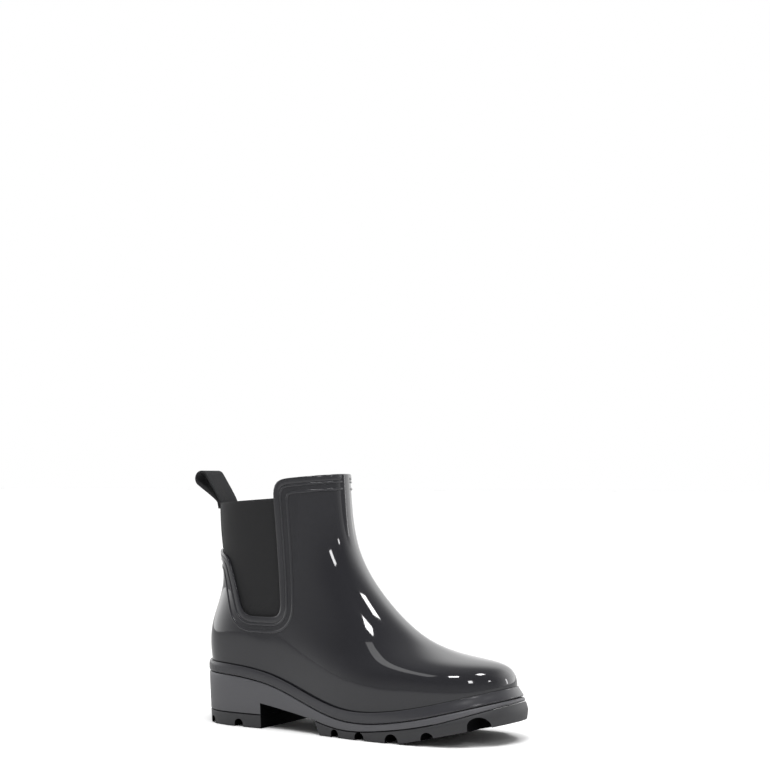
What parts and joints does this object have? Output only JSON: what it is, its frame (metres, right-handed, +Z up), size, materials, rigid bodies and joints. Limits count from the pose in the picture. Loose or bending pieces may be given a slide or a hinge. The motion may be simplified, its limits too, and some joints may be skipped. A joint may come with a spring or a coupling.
{
  "type": "ankle rain boot",
  "caption": "Ankle-height moulded rain boot with elastic side panels, a pull loop at the back, a welted sole and a block heel; right foot.",
  "frame": {"origin": "middle of the boot's bounding box, on the floor it stands on", "axes": "+X towards the toe, +Z up, +Y towards the inner (medial) side of the foot"},
  "size_m": [0.2846, 0.0962, 0.1975],
  "materials": {
    "gloss_pvc": "high gloss moulded",
    "satin_pvc": "satin moulded",
    "tread_rubber": "matte moulded",
    "core_plastic": "moulded",
    "spring_steel": "rolled",
    "fibre_board": "pressed fibre",
    "eva_foam": "closed-cell foam",
    "footbed_cloth": "brushed cloth",
    "knit_lining": "knitted",
    "elastic_webbing": "ribbed elastic",
    "woven_tape": "woven"
  },
  "bodies": {
    "boot": {"upper_shell": "gloss_pvc", "welt_band": "gloss_pvc", "sole_unit": "satin_pvc", "forefoot_tread": "tread_rubber", "heel_top_lift": "tread_rubber", "heel_core": "core_plastic", "shank": "spring_steel", "insole_board": "fibre_board", "vamp_lining": "knit_lining", "heel_lining": "knit_lining", "gore_lateral": "elastic_webbing", "gore_medial": "elastic_webbing", "back_tape": "woven_tape", "inner_tape": "woven_tape"},
    "footbed": {"footbed_foam": "eva_foam", "footbed_cover": "footbed_cloth"},
    "pull_loop": {"pull_loop": "woven_tape"}
  },
  "joints": [
    {"name": "pull_loop_hinge", "type": "hinge", "parent": "boot", "child": "pull_loop", "pos_m": [-0.11759, -0.00285, 0.17345], "axis": [0, 1, 0], "range_deg": [-40, 56], "stiffness_Nm_per_rad": 0.02},
    {"name": "footbed_lift", "type": "hinge", "parent": "boot", "child": "footbed", "pos_m": [0.12907, 0.00215, 0.0335], "axis": [0, 1, 0], "range_deg": [0, 6]}
  ]
}
